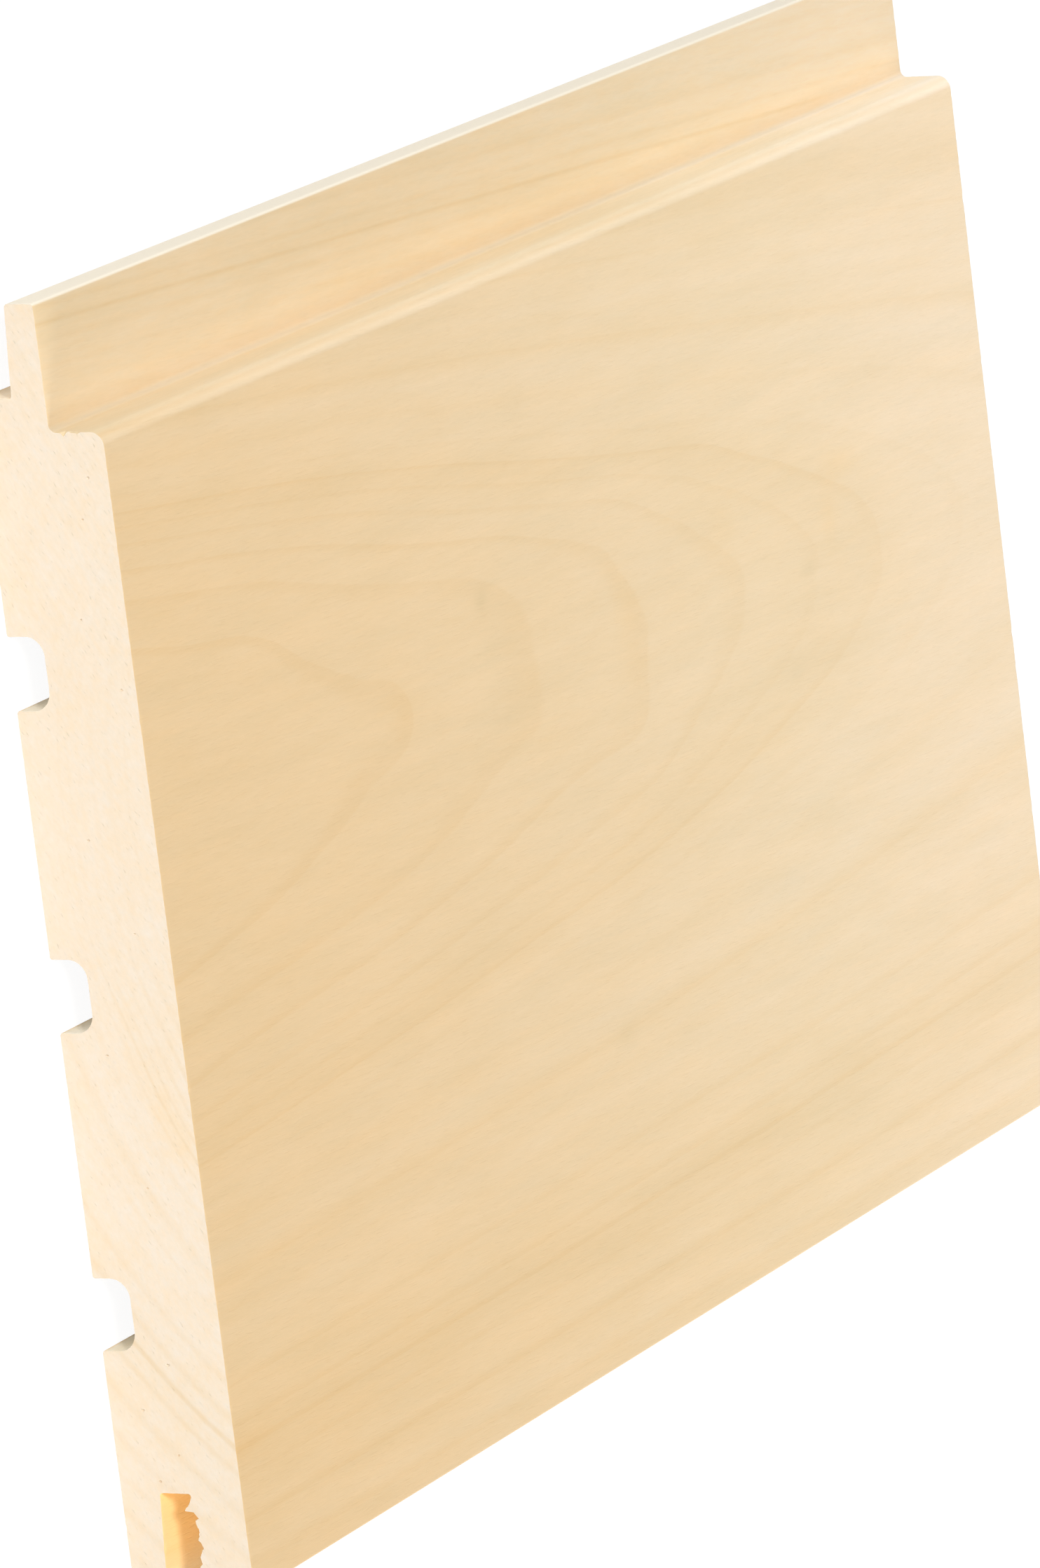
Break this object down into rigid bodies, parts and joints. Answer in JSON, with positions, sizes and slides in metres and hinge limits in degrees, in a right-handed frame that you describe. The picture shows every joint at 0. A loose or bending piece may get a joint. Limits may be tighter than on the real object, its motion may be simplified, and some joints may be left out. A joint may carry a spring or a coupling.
{
  "type": "tongue and groove board",
  "caption": "Wood wall board with a tapered tongue on one edge, a matching groove in the other, a rounded front shoulder and relief channels along its back.",
  "frame": {"origin": "middle of the footprint, on the plane of the back face that the board lies on", "axes": "+X along the grain, +Y out of the tongue edge, +Z out of the front face"},
  "size_m": [0.2, 0.14, 0.015],
  "materials": {
    "wood": "planed bare pale hardwood, fine grained, matt"
  },
  "bodies": {
    "root": {"board": "wood"}
  },
  "joints": []
}
